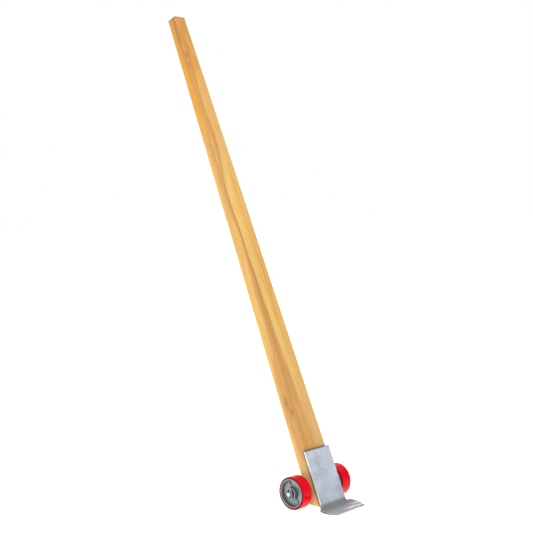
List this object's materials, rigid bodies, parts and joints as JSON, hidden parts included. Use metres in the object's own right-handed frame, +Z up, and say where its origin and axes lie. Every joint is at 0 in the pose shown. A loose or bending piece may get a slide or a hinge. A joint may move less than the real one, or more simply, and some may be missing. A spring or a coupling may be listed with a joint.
{
  "type": "pry lever bar",
  "caption": "Long tapered wooden pry lever with a bent steel nose plate and a wheel on each end of its axle, for tipping and moving heavy loads.",
  "frame": {"origin": "middle of the nose plate's flat underside, where it rests on the floor", "axes": "+Z up, nose along -Y, handle leaning back towards +Y, axle along X"},
  "size_m": [0.317, 0.9486, 1.9833],
  "materials": {
    "varnished_wood": "clear varnish over straight-grained softwood",
    "zinc_plate": "dull zinc plate with faint mottling",
    "bright_steel": "bright turned steel",
    "zinc_hardware": "zinc plate",
    "dark_steel": "black oxide",
    "grey_cast_iron": "grey paint over a sand casting",
    "red_polyurethane": "smooth moulded polyurethane",
    "brass_fitting": "plain"
  },
  "bodies": {
    "root": {"wood_handle": "varnished_wood", "nose_plate": "zinc_plate", "axle_saddle": "zinc_plate", "axle": "bright_steel", "saddle_studs": "zinc_hardware", "upper_studs": "zinc_hardware", "saddle_washers": "zinc_hardware", "upper_plate_washers": "zinc_hardware", "lock_washers": "zinc_hardware", "stud_nuts": "zinc_hardware", "left_inner_axle_washer": "dark_steel", "left_outer_axle_washer": "dark_steel", "left_cotter_pin": "zinc_hardware", "right_inner_axle_washer": "dark_steel", "right_outer_axle_washer": "dark_steel", "right_cotter_pin": "zinc_hardware"},
    "left_wheel": {"left_wheel_tread": "red_polyurethane", "left_wheel_core": "grey_cast_iron", "left_outer_hub_retainer": "dark_steel", "left_inner_hub_retainer": "dark_steel", "left_grease_fitting": "brass_fitting"},
    "right_wheel": {"right_wheel_tread": "red_polyurethane", "right_wheel_core": "grey_cast_iron", "right_outer_hub_retainer": "dark_steel", "right_inner_hub_retainer": "dark_steel", "right_grease_fitting": "brass_fitting"},
    "left_bearing": {"left_bearing_cage": "dark_steel", "left_bearing_rollers": "bright_steel"},
    "right_bearing": {"right_bearing_cage": "dark_steel", "right_bearing_rollers": "bright_steel"}
  },
  "joints": [
    {"name": "left_wheel_spin", "type": "hinge", "parent": "root", "child": "left_wheel", "pos_m": [0, 0.14327, 0.0635], "axis": [1, 0, 0], "continuous": true},
    {"name": "right_wheel_spin", "type": "hinge", "parent": "root", "child": "right_wheel", "pos_m": [0, 0.14327, 0.0635], "axis": [1, 0, 0], "continuous": true},
    {"name": "left_bearing_spin", "type": "hinge", "parent": "root", "child": "left_bearing", "pos_m": [0, 0.14327, 0.0635], "axis": [1, 0, 0], "continuous": true},
    {"name": "right_bearing_spin", "type": "hinge", "parent": "root", "child": "right_bearing", "pos_m": [0, 0.14327, 0.0635], "axis": [1, 0, 0], "continuous": true}
  ],
  "couplings": [
    {"joint": "left_bearing_spin", "follows": "left_wheel_spin", "ratio": 0.61288},
    {"joint": "right_bearing_spin", "follows": "right_wheel_spin", "ratio": 0.61288}
  ]
}
